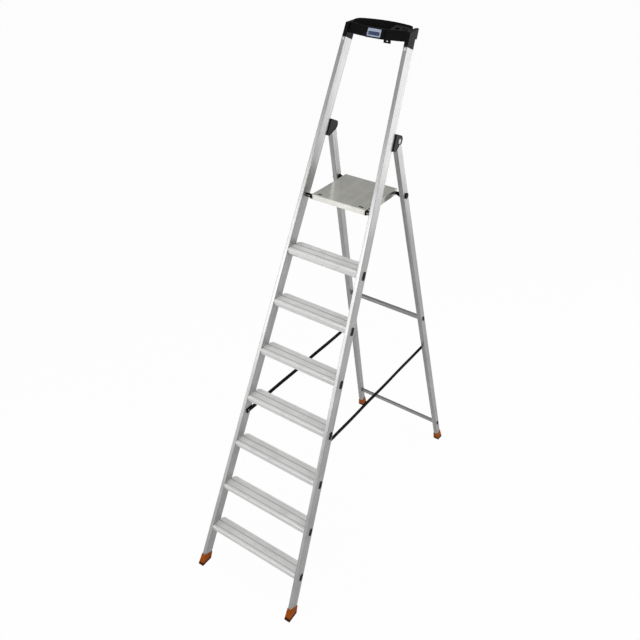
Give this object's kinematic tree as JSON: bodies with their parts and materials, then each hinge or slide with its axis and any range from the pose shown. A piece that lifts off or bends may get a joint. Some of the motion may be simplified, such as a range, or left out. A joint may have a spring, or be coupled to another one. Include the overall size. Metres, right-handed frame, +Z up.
{
  "type": "stepladder",
  "caption": "Folding aluminium stepladder with grooved treads, a standing platform, a hinged rear frame, webbing straps and a black tool tray at the top.",
  "frame": {"origin": "on the floor, in the middle of the four feet", "axes": "+Z up, +X to the right of a climber, who faces +Y"},
  "size_m": [0.586, 1.5726, 2.4498],
  "materials": {
    "aluminium": "satin extruded",
    "deck_aluminium": "satin sheet",
    "black_plastic": "matt moulded",
    "orange_plastic": "matt moulded",
    "steel": "bright zinc",
    "bush_plastic": "matt moulded",
    "webbing": "woven webbing",
    "label": "plain gloss"
  },
  "bodies": {
    "front_frame": {"front_rail_left": "aluminium", "front_rail_right": "aluminium", "tread_1": "aluminium", "tread_2": "aluminium", "tread_3": "aluminium", "tread_4": "aluminium", "tread_5": "aluminium", "tread_6": "aluminium", "tread_7": "aluminium", "tread_flares": "aluminium", "tread_plugs": "black_plastic", "front_foot_left": "orange_plastic", "front_foot_right": "orange_plastic", "tool_tray": "black_plastic", "label_plate": "label", "tray_rivets": "steel", "hinge_bracket_left": "black_plastic", "hinge_bracket_right": "black_plastic", "bracket_rivets": "steel", "hinge_pins": "steel", "platform_studs": "steel", "stud_collars": "black_plastic", "strap_front_rivets": "steel", "strap_left": "webbing", "strap_right": "webbing"},
    "rear_frame": {"rear_leg_left": "aluminium", "rear_leg_right": "aluminium", "rear_crossbar_upper": "aluminium", "rear_crossbar_lower": "aluminium", "crossbar_flares": "aluminium", "crossbar_plugs": "black_plastic", "rear_foot_left": "orange_plastic", "rear_foot_right": "orange_plastic", "hinge_bushes": "bush_plastic", "platform_bolts": "steel", "platform_bolt_caps": "black_plastic", "platform_spacers": "black_plastic", "strap_rear_rivets": "steel"},
    "platform": {"platform_deck": "deck_aluminium", "platform_hook_left": "black_plastic", "platform_hook_right": "black_plastic", "hook_rivets": "steel", "platform_bushes": "bush_plastic"}
  },
  "joints": [
    {"name": "rear_frame_fold", "type": "hinge", "parent": "front_frame", "child": "rear_frame", "pos_m": [0, 0.17917, 2.04283], "axis": [-1, 0, 0], "range_deg": [0, 39], "deforming": ["strap_left", "strap_right"]},
    {"name": "platform_fold", "type": "hinge", "parent": "rear_frame", "child": "platform", "pos_m": [0, 0.25483, 1.779], "axis": [-1, 0, 0], "range_deg": [0, 74.5]}
  ],
  "couplings": [
    {"joint": "platform_fold", "follows": "rear_frame_fold", "ratio": 1.8974}
  ]
}
